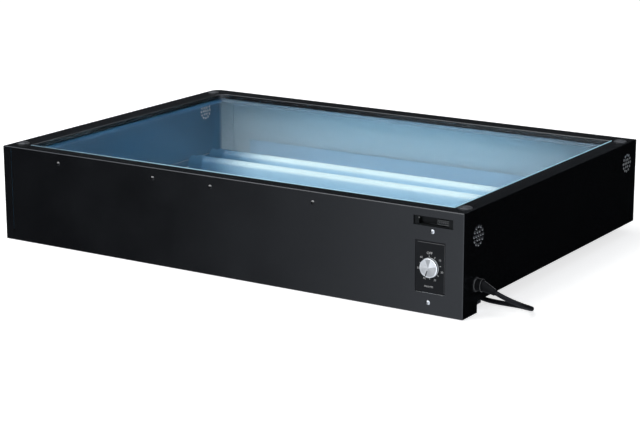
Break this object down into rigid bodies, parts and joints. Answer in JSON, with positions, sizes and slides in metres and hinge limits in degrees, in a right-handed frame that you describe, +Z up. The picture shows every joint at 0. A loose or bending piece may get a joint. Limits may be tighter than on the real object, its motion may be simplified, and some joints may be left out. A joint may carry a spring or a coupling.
{
  "type": "screen printing exposure unit",
  "caption": "Low black sheet-steel light box with a glass top, ultraviolet tubes over a white reflector, a wind-up timer, a small counter and a mains lead with its plug.",
  "frame": {"origin": "on the floor, below the middle of the case's footprint", "axes": "+X to the right along the front panel, +Y to the back, +Z up"},
  "size_m": [0.8285, 0.6455, 0.1416],
  "materials": {
    "case_black": "satin black powder coat with a fine grain",
    "zinc": "zinc-plated sheet steel and fasteners",
    "rubber": "black rubber",
    "table_glass": "clear polished plate glass with a pale blue-green edge",
    "white_enamel": "gloss white enamel",
    "lamp_glass": "frosted tube glass with a bluish white coating",
    "cap_metal": "drawn aluminium",
    "white_plastic": "matt white moulded plastic",
    "ballast_enamel": "pale grey enamel",
    "wire_sheath": "pale wire insulation",
    "black_plastic": "black moulded plastic",
    "dial_black": "satin black plate",
    "white_print": "white screen print",
    "knob_aluminium": "turned and anodised aluminium",
    "bright_screws": "nickel-plated screws",
    "display_grey": "grey frame with a dark window",
    "black_screws": "black oxide screws",
    "cord_sheath": "black flexible sheath",
    "plug_plastic": "black moulded plug",
    "plug_brass": "plain brass"
  },
  "bodies": {
    "case": {"front_panel": "case_black", "left_end_panel": "case_black", "right_end_panel": "case_black", "rear_panel": "case_black", "top_frame": "case_black", "base_pan": "case_black", "ledge_front": "zinc", "ledge_rear": "zinc", "ledge_left": "zinc", "ledge_right": "zinc", "glass_seals": "rubber", "glass": "table_glass", "reflector": "white_enamel", "lamp_tube_1": "lamp_glass", "lamp_tube_2": "lamp_glass", "lamp_tube_3": "lamp_glass", "lamp_tube_4": "lamp_glass", "lamp_caps": "cap_metal", "lamp_holders_left": "white_plastic", "lamp_holders_right": "white_plastic", "ballast_front": "ballast_enamel", "ballast_rear": "ballast_enamel", "ballast_screws": "zinc", "control_box": "zinc", "terminal_block": "white_plastic", "internal_wiring": "wire_sheath", "timer_movement": "black_plastic", "timer_strap": "zinc", "timer_dial": "dial_black", "dial_marks": "white_print", "timer_screws": "bright_screws", "counter_bezel": "black_plastic", "counter_display": "display_grey", "counter_case": "black_plastic", "panel_screws": "black_screws", "panel_nuts": "zinc", "dome_plugs": "black_plastic", "foot_front_left": "rubber", "foot_front_right": "rubber", "foot_rear_left": "rubber", "foot_rear_right": "rubber", "foot_screws": "zinc", "strain_relief": "black_plastic", "relief_nut": "black_plastic", "power_cord": "cord_sheath", "cord_coil": "cord_sheath", "plug_body": "plug_plastic", "plug_blades": "plug_brass", "plug_earth_pin": "plug_brass"},
    "knob": {"timer_shaft": "zinc", "timer_knob": "knob_aluminium"}
  },
  "joints": [
    {"name": "timer_turn", "type": "hinge", "parent": "case", "child": "knob", "pos_m": [0.333, -0.2664, 0.0635], "axis": [0, 1, 0], "range_deg": [-200, 112]}
  ]
}
